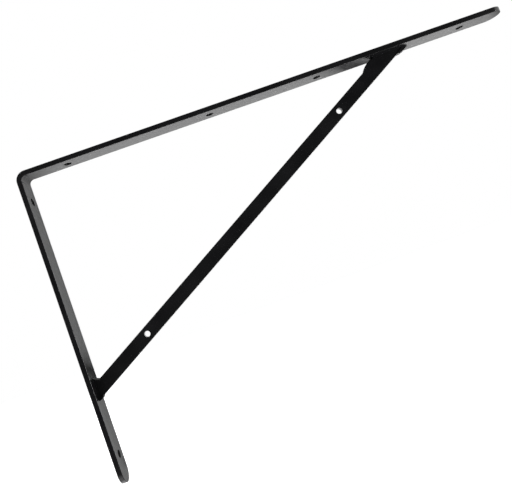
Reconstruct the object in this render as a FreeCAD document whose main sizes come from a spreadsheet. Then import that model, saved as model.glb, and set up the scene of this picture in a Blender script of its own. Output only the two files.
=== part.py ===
# Gallows shelf bracket: a flat bar bent into an L, with a welded diagonal brace.
#
# Lengths are in millimetres. X runs out from the wall along the shelf leg, Y across
# the width of the bar, Z up. The origin lies on the wall face, midway between the two
# wall holes. Inside each sub-part, heights are counted from the shelf face, and its
# Placement lifts it to that frame.

import FreeCAD, Part
import math
import os
import Sketcher
from FreeCAD import Placement, Rotation, Vector

SIZES = {
    # the bent bar
    "bar_width": 25,
    "bar_thick": 5,
    "bar_edge_round": 0.4,
    "bend_inside": 5,
    "shelf_reach": 520,
    "wall_drop": 320,
    # its holes: out from the wall face or down from the shelf face, the last one of
    # each row back from the tip
    "arm_hole_dia": 8,
    "shelf_hole_one": 50,
    "shelf_hole_two": 201,
    "shelf_hole_three": 317,
    "shelf_hole_from_tip": 45,
    "wall_hole_high": 30,
    "wall_hole_from_tip": 28,
    # the brace: where its centre line lands on the inner faces, out from the wall face
    # and down from the shelf face, and its holes along that line from either end
    "brace_width": 14,
    "brace_thick": 5,
    "brace_edge_round": 0.4,
    "brace_at_shelf": 398.3,
    "brace_at_wall": 228.4,
    "brace_hole_dia": 6,
    "brace_hole_low": 74,
    "brace_hole_high": 83,
    # the welds: how far each bead reaches along the leg and along the brace, and how
    # far the middle of its face stands out from the straight line between those ends
    "bead_width": 6.5,
    "bead_wrap": 1,
    "corner_bead_round": 1.6,
    "toe_bead_round": 0.5,
    "shelf_corner_on_leg": 6.5,
    "shelf_corner_on_brace": 24,
    "shelf_corner_height": 1.7,
    "shelf_toe_on_leg": 3.8,
    "shelf_toe_on_brace": 11,
    "shelf_toe_height": 1.4,
    "wall_corner_on_leg": 7.3,
    "wall_corner_on_brace": 7.3,
    "wall_corner_hollow_depth": 0.6,
    "wall_toe_on_leg": 0.8,
    "wall_toe_on_brace": 6.2,
    "wall_toe_height": 0.95,
}

WALL_HOLE_LOW = "Sizes.wall_drop - Sizes.wall_hole_from_tip"
LIFT = f"(Sizes.wall_hole_high + {WALL_HOLE_LOW}) / 2"
# The brace's slope to the shelf leg, and its half width measured along each leg.
SLOPE = "atan((Sizes.brace_at_wall - Sizes.bar_thick) / (Sizes.brace_at_shelf - Sizes.bar_thick))"
HALF_ON_SHELF = f"Sizes.brace_width / 2 / sin({SLOPE})"
HALF_ON_WALL = f"Sizes.brace_width / 2 / cos({SLOPE})"
# How far the cut that rounds a tip reaches past it.
PAST_THE_TIP = 2

# The sketcher's numbers for an edge's points, and for a sketch's own axes and origin.
START, END, CENTRE = range(1, 4)
X_AXIS, Y_AXIS = range(-1, -3, -1)
ROOT = (X_AXIS, START)

doc = FreeCAD.newDocument("gallows_shelf_bracket")
sheet = doc.addObject("Spreadsheet::Sheet", "Sizes")
for row, (size_name, size_value) in enumerate(SIZES.items(), start=1):
    sheet.set(f"A{row}", size_name)
    sheet.set(f"B{row}", str(size_value))
    sheet.setAlias(f"B{row}", size_name)
doc.recompute()


def value(expression):
    """What an expression over the sheet's sizes comes to, in millimetres or degrees."""
    result = sheet.evalExpression(expression)
    return float(getattr(result, "Value", result))


# Sketch helpers


def new_body(label):
    body = doc.addObject("PartDesign::Body", label)
    body.Label = label
    body.setExpression("Placement.Base.z", LIFT)
    return body


def new_sketch(body, name, role):
    sketch = body.newObject("Sketcher::SketchObject", name)
    plane = next(part for part in body.Origin.OriginFeatures if part.Role == role)
    sketch.AttachmentSupport = (plane, "")
    sketch.MapMode = "FlatFace"
    return sketch


def line(sketch, start, end, construction=False):
    return sketch.addGeometry(Part.LineSegment(Vector(*start), Vector(*end)), construction)


def arc(sketch, start, middle, end):
    return sketch.addGeometry(Part.Arc(Vector(*start), Vector(*middle), Vector(*end)))


def circle(sketch, centre, radius):
    return sketch.addGeometry(Part.Circle(Vector(*centre), Vector(0, 0, 1), radius))


def rule(sketch, kind, *places):
    return sketch.addConstraint(Sketcher.Constraint(kind, *places))


def driven(sketch, kind, places, name, expression):
    """A constraint that takes its value from the sheet."""
    now = value(expression)
    index = rule(sketch, kind, *places, math.radians(now) if kind == "Angle" else now)
    sketch.renameConstraint(index, name)
    sketch.setExpression(f"Constraints.{name}", expression)


def touching_ends(sketch, edge, other):
    """Which end of an edge meets another edge, and which end of that one it meets."""
    pairs = [(mine, theirs) for mine in (START, END) for theirs in (START, END)]

    def gap(pair):
        return (sketch.getPoint(edge, pair[0]) - sketch.getPoint(other, pair[1])).Length

    return min(pairs, key=gap)


def close_loop(sketch, edges, smooth=()):
    """Join each edge to the next, tangent where either of them is in smooth."""
    for edge, after in zip(edges, edges[1:] + edges[:1]):
        mine, theirs = touching_ends(sketch, edge, after)
        kind = "Tangent" if edge in smooth or after in smooth else "Coincident"
        rule(sketch, kind, edge, mine, after, theirs)


# Feature helpers


def pad(body, name, sketch, thickness):
    """A solid with the sketch's plane in its middle."""
    feature = body.newObject("PartDesign::Pad", name)
    feature.Profile = sketch
    feature.SideType = "Symmetric"
    feature.setExpression("Length", thickness)
    doc.recompute()


def cut(body, kind, name, sketch, reverse, settings, bound):
    """A pocket or hole. settings are plain properties, bound ones follow the sheet."""
    before = body.Shape.Volume
    feature = body.newObject(kind, name)
    feature.Profile = sketch
    feature.Reversed = reverse
    for name_of, setting in settings.items():
        setattr(feature, name_of, setting)
    for name_of, expression in bound.items():
        feature.setExpression(name_of, expression)
    doc.recompute()
    if not body.Shape.Volume < before:
        raise RuntimeError(f"{name} cut nothing")


def drill(body, name, sketch, diameter, reverse=False):
    settings = {"DepthType": "ThroughAll", "Threaded": False}
    cut(body, "PartDesign::Hole", name, sketch, reverse, settings, {"Diameter": diameter})


def round_edges(body, name, wanted, radius):
    """Round the edges of the body's latest shape that wanted() picks."""
    base = body.Tip
    names = [f"Edge{n}" for n, edge in enumerate(base.Shape.Edges, start=1) if wanted(edge)]
    fillet = body.newObject("PartDesign::Fillet", name)
    fillet.Base = (base, names)
    fillet.setExpression("Radius", radius)
    doc.recompute()


def direction(edge):
    """The direction of a straight edge, or None for a curved one."""
    return edge.Curve.Direction if isinstance(edge.Curve, Part.Line) else None


# The bent bar


def leg_profile(body):
    """The L seen from the side, with a bend of one thickness all round."""
    thick = value("Sizes.bar_thick")
    inner = value("Sizes.bend_inside")
    outer = inner + thick
    reach = value("Sizes.shelf_reach")
    drop = value("Sizes.wall_drop")
    diagonal = Vector(-1, 1, 0).normalize()
    centre = Vector(outer, -outer, 0)
    sketch = new_sketch(body, "leg_profile", "XZ_Plane")
    shelf_face = line(sketch, (outer, 0), (reach, 0))
    shelf_tip = line(sketch, (reach, 0), (reach, -thick))
    shelf_under = line(sketch, (reach, -thick), (outer, -thick))
    bend_in = arc(sketch, (outer, -thick), centre + diagonal * inner, (thick, -outer))
    wall_inside = line(sketch, (thick, -outer), (thick, -drop))
    wall_tip = line(sketch, (thick, -drop), (0, -drop))
    wall_face = line(sketch, (0, -drop), (0, -outer))
    bend_out = arc(sketch, (0, -outer), centre + diagonal * outer, (outer, 0))
    edges = [shelf_face, shelf_tip, shelf_under, bend_in, wall_inside, wall_tip, wall_face, bend_out]
    close_loop(sketch, edges, smooth=(bend_in, bend_out))
    rule(sketch, "PointOnObject", shelf_tip, START, X_AXIS)
    rule(sketch, "PointOnObject", wall_tip, END, Y_AXIS)
    for edge in (shelf_face, wall_tip):
        rule(sketch, "Horizontal", edge)
    for edge in (shelf_tip, wall_face):
        rule(sketch, "Vertical", edge)
    rule(sketch, "Coincident", bend_in, CENTRE, bend_out, CENTRE)
    driven(sketch, "Radius", (bend_in,), "bend", "Sizes.bend_inside")
    driven(sketch, "DistanceX", (*ROOT, shelf_tip, START), "reach", "Sizes.shelf_reach")
    driven(sketch, "DistanceY", (wall_tip, END, *ROOT), "drop", "Sizes.wall_drop")
    driven(sketch, "DistanceY", (shelf_tip, END, shelf_tip, START), "thick", "Sizes.bar_thick")
    return sketch


def round_tip(body, name, role, reach, runs_along_x, reverse):
    """Cut a leg's square end to a full round, across the bar's width.

    The leg runs out along its sketch plane's x, or down its y.
    """
    radius = value("Sizes.bar_width / 2")
    tip = value(reach)

    def place(along, across):
        return (along, across) if runs_along_x else (across, -along)

    near = tip - radius
    far = tip + PAST_THE_TIP
    sketch = new_sketch(body, f"{name}_outline", role)
    side = line(sketch, place(near, radius), place(far, radius))
    past_tip = line(sketch, place(far, radius), place(far, -radius))
    other_side = line(sketch, place(far, -radius), place(near, -radius))
    nose = arc(sketch, place(near, -radius), place(tip, 0), place(near, radius))
    close_loop(sketch, [side, past_tip, other_side, nose], smooth=(nose,))
    rule(sketch, "Horizontal" if runs_along_x else "Vertical", side)
    rule(sketch, "Vertical" if runs_along_x else "Horizontal", past_tip)
    rule(sketch, "PointOnObject", nose, CENTRE, X_AXIS if runs_along_x else Y_AXIS)
    driven(sketch, "Radius", (nose,), "nose", "Sizes.bar_width / 2")
    kind = "DistanceX" if runs_along_x else "DistanceY"
    out = (*ROOT, nose, CENTRE) if runs_along_x else (nose, CENTRE, *ROOT)
    driven(sketch, kind, out, "centre", f"{reach} - Sizes.bar_width / 2")
    driven(sketch, "Distance", (side,), "cut_length", f"Sizes.bar_width / 2 + {PAST_THE_TIP}")
    cut(body, "PartDesign::Pocket", name, sketch, reverse, {}, {"Length": "2 * Sizes.bar_thick"})


def hole_row(body, name, role, places, runs_along_x):
    """Circles on the bar's middle line, each at its own distance from the corner."""
    radius = value("Sizes.arm_hole_dia / 2")
    sketch = new_sketch(body, name, role)
    rings = []
    for number, place in enumerate(places, start=1):
        away = value(place)
        ring = circle(sketch, (away, 0) if runs_along_x else (0, -away), radius)
        rule(sketch, "PointOnObject", ring, CENTRE, X_AXIS if runs_along_x else Y_AXIS)
        kind = "DistanceX" if runs_along_x else "DistanceY"
        out = (*ROOT, ring, CENTRE) if runs_along_x else (ring, CENTRE, *ROOT)
        driven(sketch, kind, out, f"place_{number}", place)
        rings.append(ring)
    driven(sketch, "Diameter", rings[:1], "bore", "Sizes.arm_hole_dia")
    for ring in rings[1:]:
        rule(sketch, "Equal", rings[0], ring)
    return sketch


def on_bar_rim(edge):
    """An edge of the two broad faces: not across the width nor through the thickness."""
    along = direction(edge)
    if along is None:
        return True
    return abs(along.y) < 0.5 and edge.Length > 1.5 * value("Sizes.bar_thick")


def arm_bar():
    body = new_body("arm_bar")
    pad(body, "bent_bar", leg_profile(body), "Sizes.bar_width")
    round_tip(body, "shelf_tip", "XY_Plane", "Sizes.shelf_reach", True, False)
    round_tip(body, "wall_tip", "YZ_Plane", "Sizes.wall_drop", False, True)
    round_edges(body, "bar_edges", on_bar_rim, "Sizes.bar_edge_round")
    shelf_places = (
        "Sizes.shelf_hole_one",
        "Sizes.shelf_hole_two",
        "Sizes.shelf_hole_three",
        "Sizes.shelf_reach - Sizes.shelf_hole_from_tip",
    )
    shelf_row = hole_row(body, "shelf_hole_places", "XY_Plane", shelf_places, True)
    drill(body, "shelf_holes", shelf_row, "Sizes.arm_hole_dia")
    wall_places = ("Sizes.wall_hole_high", WALL_HOLE_LOW)
    wall_row = hole_row(body, "wall_hole_places", "YZ_Plane", wall_places, False)
    drill(body, "wall_holes", wall_row, "Sizes.arm_hole_dia", reverse=True)
    return body


# The brace


def centre_line(sketch):
    """The brace's middle line, from the wall leg's inner face to the shelf leg's."""
    thick = value("Sizes.bar_thick")
    low = (thick, -value("Sizes.brace_at_wall"))
    high = (value("Sizes.brace_at_shelf"), -thick)
    middle = line(sketch, low, high, True)
    driven(sketch, "DistanceX", (*ROOT, middle, START), "wall_inside", "Sizes.bar_thick")
    driven(sketch, "DistanceY", (middle, START, *ROOT), "at_wall", "Sizes.brace_at_wall")
    driven(sketch, "DistanceX", (*ROOT, middle, END), "at_shelf", "Sizes.brace_at_shelf")
    driven(sketch, "DistanceY", (middle, END, *ROOT), "shelf_under", "Sizes.bar_thick")
    return middle


def brace_profile(body):
    """The brace's wide face, its ends cut to lie on the two inner faces."""
    sketch = new_sketch(body, "brace_profile", "XZ_Plane")
    middle = centre_line(sketch)
    foot = sketch.getPoint(middle, START)
    head = sketch.getPoint(middle, END)
    up = Vector(0, value(HALF_ON_WALL), 0)
    out = Vector(value(HALF_ON_SHELF), 0, 0)
    under = line(sketch, foot - up, head + out)
    shelf_end = line(sketch, head + out, head - out)
    over = line(sketch, head - out, foot + up)
    wall_end = line(sketch, foot + up, foot - up)
    close_loop(sketch, [under, shelf_end, over, wall_end])
    rule(sketch, "Parallel", under, middle)
    rule(sketch, "Parallel", over, middle)
    rule(sketch, "Horizontal", shelf_end)
    rule(sketch, "Vertical", wall_end)
    rule(sketch, "PointOnObject", middle, START, wall_end)
    rule(sketch, "PointOnObject", middle, END, shelf_end)
    driven(sketch, "Distance", (middle, START, under), "half_under", "Sizes.brace_width / 2")
    driven(sketch, "Distance", (middle, START, over), "half_over", "Sizes.brace_width / 2")
    return sketch


def brace_hole_places(body):
    """Two circles on the centre line, drawn on the brace's near face."""
    sketch = new_sketch(body, "brace_hole_places", "XZ_Plane")
    sketch.setExpression("AttachmentOffset.Base.z", "Sizes.brace_thick / 2")
    middle = centre_line(sketch)
    foot = sketch.getPoint(middle, START)
    head = sketch.getPoint(middle, END)
    along = (head - foot).normalize()
    radius = value("Sizes.brace_hole_dia / 2")
    low = circle(sketch, foot + along * value("Sizes.brace_hole_low"), radius)
    high = circle(sketch, head - along * value("Sizes.brace_hole_high"), radius)
    for ring in (low, high):
        rule(sketch, "PointOnObject", ring, CENTRE, middle)
    driven(sketch, "Distance", (middle, START, low, CENTRE), "low", "Sizes.brace_hole_low")
    driven(sketch, "Distance", (middle, END, high, CENTRE), "high", "Sizes.brace_hole_high")
    driven(sketch, "Diameter", (low,), "bore", "Sizes.brace_hole_dia")
    rule(sketch, "Equal", low, high)
    return sketch


def on_brace_rim(edge):
    """One of the four long edges, which are the only slanting ones."""
    along = direction(edge)
    return along is not None and min(abs(along.x), abs(along.z)) > 0.05


def brace_bar():
    body = new_body("brace_bar")
    pad(body, "brace_blank", brace_profile(body), "Sizes.brace_thick")
    round_edges(body, "brace_edges", on_brace_rim, "Sizes.brace_edge_round")
    drill(body, "brace_holes", brace_hole_places(body), "Sizes.brace_hole_dia")
    return body


# The welds


def bead_outline(body, first_leg, last_leg, opening, height, hollow):
    """One bead, drawn from the corner where an edge of the brace meets a leg.

    The corner is the sketch's origin. One bar runs along its x axis, and the other lies
    at the opening angle. The outline runs bead_wrap deep into both bars, which are cut
    out of it later, so that it seats on them face to face and laps the brace's edges.
    Its face is an arc that bulges by the height, or is as much hollow.
    """
    angle = math.radians(value(opening))
    wrap = value("Sizes.bead_wrap")
    side = Vector(math.cos(angle), math.sin(angle), 0)
    outward = Vector(-math.sin(angle), math.cos(angle), 0)
    first = Vector(value(first_leg), 0, 0)
    first_deep = first + Vector(0, -wrap, 0)
    corner_deep = Vector(-wrap / math.tan(angle / 2), -wrap, 0)
    last = side * value(last_leg)
    last_deep = last + outward * wrap
    chord = first - last
    away = Vector(-chord.y, chord.x, 0).normalize() * value(height)
    middle = (first + last) / 2 + (away * -1 if hollow else away)
    chord_squared = f"({first_leg})^2 + ({last_leg})^2 - 2 * {first_leg} * {last_leg} * cos({opening})"
    radius = f"(({chord_squared}) / 4 + ({height})^2) / (2 * {height})"
    sketch = new_sketch(body, "bead_outline", "XZ_Plane")
    second_bar = line(sketch, (0, 0), last, True)
    first_step = line(sketch, first, first_deep)
    first_side = line(sketch, first_deep, corner_deep)
    last_side = line(sketch, corner_deep, last_deep)
    last_step = line(sketch, last_deep, last)
    face = arc(sketch, last, middle, first)
    close_loop(sketch, [first_step, first_side, last_side, last_step, face])
    rule(sketch, "Coincident", second_bar, START, *ROOT)
    rule(sketch, "Coincident", second_bar, END, last_step, END)
    rule(sketch, "PointOnObject", first_step, START, X_AXIS)
    rule(sketch, "Vertical", first_step)
    rule(sketch, "Horizontal", first_side)
    rule(sketch, "Parallel", last_side, second_bar)
    rule(sketch, "Perpendicular", last_step, second_bar)
    rule(sketch, "Equal", first_step, last_step)
    driven(sketch, "DistanceX", (*ROOT, first_step, START), "first_leg", first_leg)
    driven(sketch, "Distance", (second_bar,), "last_leg", last_leg)
    driven(sketch, "Angle", (X_AXIS, START, second_bar, START), "opening", opening)
    driven(sketch, "DistanceY", (first_step, END, first_step, START), "wrap", "Sizes.bead_wrap")
    driven(sketch, "Radius", (face,), "face", radius)
    return sketch


def on_bead_rim(edge):
    """One of the two rims of the bead's curved face."""
    return direction(edge) is None


def weld_bead(label, first_leg, last_leg, opening, height, rounding, corner, turn, bars, hollow=False):
    """A bead in the opening at a corner, its first side turned from the X axis."""
    body = new_body(f"{label}_bead")
    sketch = bead_outline(body, first_leg, last_leg, opening, height, hollow)
    sketch.AttachmentOffset = Placement(Vector(), Rotation(Vector(0, 0, 1), value(turn)))
    sketch.setExpression("AttachmentOffset.Base.x", corner[0])
    sketch.setExpression("AttachmentOffset.Base.y", corner[1])
    sketch.setExpression("AttachmentOffset.Rotation.Angle", turn)
    pad(body, f"{label}_metal", sketch, "Sizes.bead_width")
    round_edges(body, f"{label}_rims", on_bead_rim, rounding)
    shape = body
    for bar in bars:
        fitted = doc.addObject("Part::Cut", f"{label}_clear_of_{bar.Label}")
        fitted.Base = shape
        fitted.Tool = bar
        shape = fitted
    shape.Label = label
    doc.recompute()
    return shape


def welds(*bars):
    """Two beads on each leg: one in the corner over the brace, one at its toe."""
    past_straight = f"180 deg - {SLOPE}"
    steep = f"90 deg - {SLOPE}"
    blunt = f"90 deg + {SLOPE}"
    shelf_corner = weld_bead(
        "shelf_weld_corner",
        "Sizes.shelf_corner_on_leg",
        "Sizes.shelf_corner_on_brace",
        SLOPE,
        "Sizes.shelf_corner_height",
        "Sizes.corner_bead_round",
        (f"Sizes.brace_at_shelf - {HALF_ON_SHELF}", "-Sizes.bar_thick"),
        "180 deg",
        bars,
    )
    shelf_toe = weld_bead(
        "shelf_weld_toe",
        "Sizes.shelf_toe_on_brace",
        "Sizes.shelf_toe_on_leg",
        past_straight,
        "Sizes.shelf_toe_height",
        "Sizes.toe_bead_round",
        (f"Sizes.brace_at_shelf + {HALF_ON_SHELF}", "-Sizes.bar_thick"),
        f"180 deg + {SLOPE}",
        bars,
    )
    wall_corner = weld_bead(
        "wall_weld_corner",
        "Sizes.wall_corner_on_brace",
        "Sizes.wall_corner_on_leg",
        steep,
        "Sizes.wall_corner_hollow_depth",
        "Sizes.corner_bead_round",
        ("Sizes.bar_thick", f"{HALF_ON_WALL} - Sizes.brace_at_wall"),
        SLOPE,
        bars,
        hollow=True,
    )
    wall_toe = weld_bead(
        "wall_weld_toe",
        "Sizes.wall_toe_on_leg",
        "Sizes.wall_toe_on_brace",
        blunt,
        "Sizes.wall_toe_height",
        "Sizes.toe_bead_round",
        ("Sizes.bar_thick", f"-{HALF_ON_WALL} - Sizes.brace_at_wall"),
        "-90 deg",
        bars,
    )
    return [shelf_corner, shelf_toe, wall_corner, wall_toe]


def check(parts):
    for item in doc.Objects:
        if "Invalid" in item.State or "Error" in item.State:
            raise RuntimeError(f"{item.Label} did not compute: {item.State}")
    for part in parts:
        if part.Shape.isNull() or not part.Shape.isValid():
            raise RuntimeError(f"{part.Label} has no valid shape")
        if len(part.Shape.Solids) != 1:
            raise RuntimeError(f"{part.Label} is {len(part.Shape.Solids)} solids")


arm = arm_bar()
brace = brace_bar()
sub_parts = [arm, brace, *welds(arm, brace)]
doc.recompute()
check(sub_parts)

os.makedirs("parts", exist_ok=True)
for sub_part in sub_parts:
    sub_part.Shape.exportStep(f"parts/{sub_part.Label}.step")
    print(f"{sub_part.Label}: {sub_part.Shape.Volume:.1f} cubic mm")
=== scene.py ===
# Looks of the gallows shelf bracket: satin black powder coat over bent bar, brace and
# welds, in a white photographic studio. Lengths are in metres where no name says mm.

from math import radians

import bpy
from mathutils import Matrix, Vector

MM = 0.001

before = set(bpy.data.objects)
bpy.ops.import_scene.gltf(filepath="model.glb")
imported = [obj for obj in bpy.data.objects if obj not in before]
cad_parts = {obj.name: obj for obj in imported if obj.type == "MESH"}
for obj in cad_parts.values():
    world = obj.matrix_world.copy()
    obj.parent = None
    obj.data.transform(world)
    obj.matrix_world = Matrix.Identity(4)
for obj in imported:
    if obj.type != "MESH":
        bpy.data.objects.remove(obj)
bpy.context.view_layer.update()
scene = bpy.context.scene


# Helpers


def linear(hex_colour):
    """An sRGB hex colour as the linear RGBA that a socket takes."""
    channels = [int(hex_colour[i : i + 2], 16) / 255 for i in (1, 3, 5)]
    return [c / 12.92 if c <= 0.04045 else ((c + 0.055) / 1.055) ** 2.4 for c in channels] + [1]


def add(tree, kind, links=(), values=(), **settings):
    """A node with its settings, its socket values and the outputs that feed it."""
    node = tree.nodes.new(kind)
    for name, setting in settings.items():
        setattr(node, name, setting)
    for socket, number in dict(values).items():
        node.inputs[socket].default_value = number
    for socket, output in dict(links).items():
        tree.links.new(output, node.inputs[socket])
    return node


def new_tree(owner):
    """The node tree of a material or world, emptied."""
    owner.use_nodes = True
    owner.node_tree.nodes.clear()
    return owner.node_tree


def maths(tree, operation, first, second):
    """What an operation makes of two outputs."""
    links = {0: first, 1: second}
    return add(tree, "ShaderNodeMath", links, operation=operation).outputs["Value"]


def ramp(tree, output, start, end, low, high):
    """An output mapped from start and end to low and high, and held beyond them."""
    values = {"From Min": start, "From Max": end, "To Min": low, "To Max": high}
    return add(tree, "ShaderNodeMapRange", {"Value": output}, values).outputs["Result"]


# Finishes


# The pattern of the coat in mm, across and deep.
PEEL_SIZE, PEEL_DEPTH = 3.2, 0.16
TOOTH_SIZE, TOOTH_DEPTH = 0.8, 0.015
DRIFT_SIZE = 35
RIPPLE_DEPTH = 0.2

# Where the coat's noise counts as thin and as thick, with its look there.
THIN, THICK = 0.3, 0.7
THIN_ROUGHNESS, THICK_ROUGHNESS = 0.18, 0.24
THIN_TONE, THICK_TONE = "#0c0c0d", "#131314"
COAT_IOR = 1.6

# Bands that a wave texture draws in one unit at scale 1, near enough.
WAVE_BANDS = 3.14


def noise(tree, place, size_mm, **values):
    """Noise with spots of a size."""
    values["Scale"] = 1 / (size_mm * MM)
    return add(tree, "ShaderNodeTexNoise", {"Vector": place}, values).outputs["Fac"]


def bump(tree, height, depth_mm, **under):
    """The surface normal over a height pattern of a depth, on top of one under it."""
    values = {"Strength": 1.0, "Distance": depth_mm * MM}
    return add(tree, "ShaderNodeBump", {"Height": height, **under}, values).outputs["Normal"]


def powder_coat(name, ripple_mm):
    """Satin black polyester powder, baked on steel.

    The powder flows before it sets, so light breaks on an orange peel of soft dimples about
    3 mm across, with a finer tooth on top that keeps it satin. Both are drawn somewhat
    coarser and deeper than the real ones, which would be too fine to show. Gloss and tone
    drift along the bar as the coat grows thicker or thinner.
    Where ripple_mm is given, the ridges of a weld bead show through the coat.
    """
    material = bpy.data.materials.new(name)
    tree = new_tree(material)
    place = add(tree, "ShaderNodeTexCoord").outputs["Object"]
    peel = noise(tree, place, PEEL_SIZE, Detail=2.0, Roughness=0.4)
    tooth = noise(tree, place, TOOTH_SIZE, Detail=1.0)
    drift = noise(tree, place, DRIFT_SIZE, Detail=3.0)
    gloss = ramp(tree, drift, THIN, THICK, THIN_ROUGHNESS, THICK_ROUGHNESS)
    tone = add(tree, "ShaderNodeValToRGB", {"Fac": drift})
    stops = ((THIN, THIN_TONE), (THICK, THICK_TONE))
    for element, (position, colour) in zip(tone.color_ramp.elements, stops):
        element.position = position
        element.color = linear(colour)
    surface = bump(tree, peel, PEEL_DEPTH)
    surface = bump(tree, tooth, TOOTH_DEPTH, Normal=surface)
    if ripple_mm:
        ripples = add(
            tree,
            "ShaderNodeTexWave",
            {"Vector": place},
            {
                "Scale": 1 / (ripple_mm * MM) / WAVE_BANDS,
                "Distortion": 1.5,
                "Detail": 1.0,
                "Detail Scale": 1.0,
            },
            bands_direction="Y",
        )
        surface = bump(tree, ripples.outputs["Fac"], RIPPLE_DEPTH, Normal=surface)
    shader = add(
        tree,
        "ShaderNodeBsdfPrincipled",
        {"Base Color": tone.outputs["Color"], "Roughness": gloss, "Normal": surface},
        {"IOR": COAT_IOR},
    )
    add(tree, "ShaderNodeOutputMaterial", {"Surface": shader.outputs["BSDF"]})
    return material


WELD_RIPPLE_MM = 1.3

coated_bar = powder_coat("satin_black_powder_coat", None)
coated_weld = powder_coat("satin_black_coat_over_weld", WELD_RIPPLE_MM)
for name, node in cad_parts.items():
    finish = coated_weld if "weld" in name else coated_bar
    for slot in node.material_slots:
        slot.material = finish


# Camera, fitted to the photograph's edges, hole centres and leg ends


PICTURE_WIDTH, FOCAL_LENGTH = 512, 575  # pixels
CAMERA_PLACE = (0.17466, -0.57535, -0.01241)
CAMERA_TURNS = (93.0368, 19.9257, -1.5182)  # degrees

eye = bpy.data.cameras.new("camera")
eye.sensor_width = 36
eye.lens = FOCAL_LENGTH / PICTURE_WIDTH * eye.sensor_width
camera = bpy.data.objects.new("camera", eye)
camera.location = CAMERA_PLACE
camera.rotation_euler = [radians(turn) for turn in CAMERA_TURNS]
scene.collection.objects.link(camera)
scene.camera = camera


# Studio: white floor and air, soft boxes, and cards that the coat reflects


UPWARDS, TO_FRONT, TO_BACK = (0, 0, 1), (0, -1, 0), (0, 1, 0)
ALONG_SHELF, ALONG_BRACE = (1, 0, 0), (0.869, 0, 0.4945)
BRACKET_MIDDLE = (0.22, 0, 0)
FLOOR_LEVEL, FLOOR_SIDE = -0.4, 12
PAPER_ROUGHNESS = 0.9
AIR_LIGHT, AIR_SHOWN = 0.15, 1.0


def background_ray(tree):
    """1 for a ray that shows the background, straight or in a gloss, and 0 for lighting."""
    ray = add(tree, "ShaderNodeLightPath").outputs
    most = ray["Is Camera Ray"]
    for kind in ("Is Glossy Ray", "Is Transmission Ray"):
        most = maths(tree, "MAXIMUM", most, ray[kind])
    return most


def paper(name, colour, glow):
    """Matt paper. Its glow is only for rays that show it as the background."""
    material = bpy.data.materials.new(name)
    tree = new_tree(material)
    values = {"Base Color": linear(colour), "Roughness": PAPER_ROUGHNESS}
    surface = add(tree, "ShaderNodeBsdfPrincipled", values=values).outputs["BSDF"]
    if glow:
        links, values = {"Strength": background_ray(tree)}, {"Color": (glow, glow, glow, 1)}
        lift = add(tree, "ShaderNodeEmission", links, values).outputs["Emission"]
        surface = add(tree, "ShaderNodeAddShader", {0: surface, 1: lift}).outputs["Shader"]
    add(tree, "ShaderNodeOutputMaterial", {"Surface": surface})
    return material


def paper_with_painted_shade(name, glow, corner, sides, shade_fades):
    """White matt paper on a card from a corner, darkened with painted shade: each fade runs along
    a side from start to end, down to its darkest tone.
    """
    material = paper(name, "#ffffff", glow)
    tree = material.node_tree
    place = add(tree, "ShaderNodeSeparateXYZ", {0: add(tree, "ShaderNodeTexCoord").outputs["UV"]})
    shade_factor = None
    # Painted shade: each fade darkens the paper's colour along one side.
    for side, start, end, darkest in shade_fades:
        start, end = ((edge - corner[side]) / sides[side] for edge in (start, end))
        fade = ramp(tree, place.outputs[side], start, end, 1, darkest)
        shade_factor = fade if shade_factor is None else maths(tree, "MULTIPLY", shade_factor, fade)
    tree.links.new(shade_factor, tree.nodes["Principled BSDF"].inputs["Base Color"])
    return material


def card(name, centre, facing, width, height, material, in_view=False):
    """A flat sheet round its centre, with its normal along facing. It casts no shadow."""
    bpy.ops.mesh.primitive_plane_add(size=1, location=centre)
    sheet = bpy.context.object
    sheet.name = name
    sheet.scale = (width, height, 1)
    sheet.rotation_euler = Vector(facing).to_track_quat("Z", "Y").to_euler()
    sheet.data.materials.append(material)
    sheet.visible_camera = in_view
    sheet.visible_shadow = False


def lamp(name, centre, along, width, height, watts):
    """A soft box round its centre that shines at the bracket, with its width along a way."""
    data = bpy.data.lights.new(name, "AREA")
    data.shape = "RECTANGLE"
    data.size = width
    data.size_y = height
    data.energy = watts
    back = (Vector(centre) - Vector(BRACKET_MIDDLE)).normalized()
    up = back.cross(Vector(along)).normalized()
    light = bpy.data.objects.new(name, data)
    light.location = centre
    light.rotation_euler = Matrix((up.cross(back), up, back)).transposed().to_euler()
    light.visible_camera = False
    scene.collection.objects.link(light)


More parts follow.
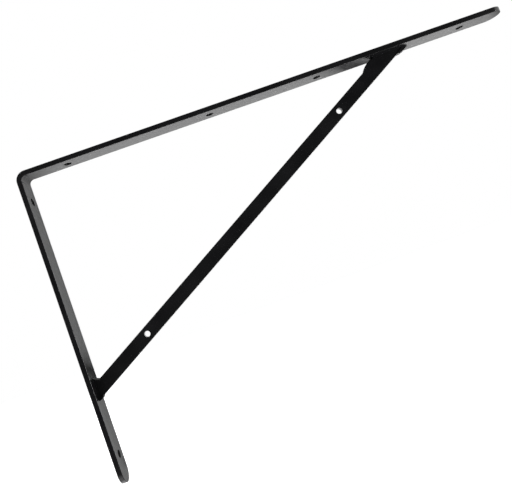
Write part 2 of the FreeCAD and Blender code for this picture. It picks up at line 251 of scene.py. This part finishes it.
scene.world = bpy.data.worlds.new("studio")
air_tree = new_tree(scene.world)
level = ramp(air_tree, background_ray(air_tree), 0, 1, AIR_LIGHT, AIR_SHOWN)
air = add(air_tree, "ShaderNodeBackground", {"Strength": level}, {"Color": (1, 1, 1, 1)})
add(air_tree, "ShaderNodeOutputWorld", {"Surface": air.outputs["Background"]})

floor_paper = paper("white_paper_floor", "#f4f4f4", 0.85)
floor_middle = (0.26, 0, FLOOR_LEVEL)
card("floor", floor_middle, UPWARDS, FLOOR_SIDE, FLOOR_SIDE, floor_paper, in_view=True)

# The paper starts at the inner faces of the legs, so it doesn't stand behind their outer
# faces. Beyond the two tips, where no leg shades it from the low lamps, it is painted darker:
# painted shade, which the coat shows at the tips as a painted darker reflection.
LOW_CORNER, HIGH_CORNER = (0.0042, -0.6), (1.0, 0.1558)
BEHIND = 0.013
SIDE_X, SIDE_Z = 0, 1
# Painted shade beyond the tips: side, start and end in metres, and darkest tone.
SHADE_FADES = (
    (SIDE_X, 0.47, 0.505, 0.78),
    (SIDE_X, 0.515, 0.53, 0.3),
    (SIDE_Z, -0.128, -0.152, 0.45),
)
sides = [high - low for low, high in zip(LOW_CORNER, HIGH_CORNER)]
x, z = (low + side / 2 for low, side in zip(LOW_CORNER, sides))
white_paper = paper_with_painted_shade("paper_with_painted_shade", 0.03, LOW_CORNER, sides, SHADE_FADES)
card("paper_behind", (x, BEHIND, z), TO_FRONT, *sides, white_paper)

cloth = paper("black_cloth", "#181818", 0)
card("flag_in_front", (0.4, -1.2, 0.4), TO_BACK, 4.0, 2.4, cloth)
card("flag_on_floor", (0.26, -0.9, FLOOR_LEVEL + 0.005), UPWARDS, 4.0, 1.8, cloth)

# Each soft box has its centre, the way that its width runs, its width, height and watts.
for name, *settings in (
    ("softbox_low_left", (-2.17, -1.20, -2.97), ALONG_BRACE, 2.4, 1.6, 168),
    ("softbox_low", (-0.84, -1.77, -3.43), ALONG_BRACE, 1.8, 1.6, 140),
    ("softbox_low_right", (3.72, -1.84, -0.59), ALONG_BRACE, 2.0, 1.6, 152),
    ("softbox_above", (-2.34, -1.71, 2.56), ALONG_SHELF, 1.4, 1.4, 75),
    ("softbox_behind", (-1.30, 2.50, 1.50), ALONG_SHELF, 3.2, 2.4, 50),
):
    lamp(name, *settings)


# View transform


scene.view_settings.view_transform = "Standard"
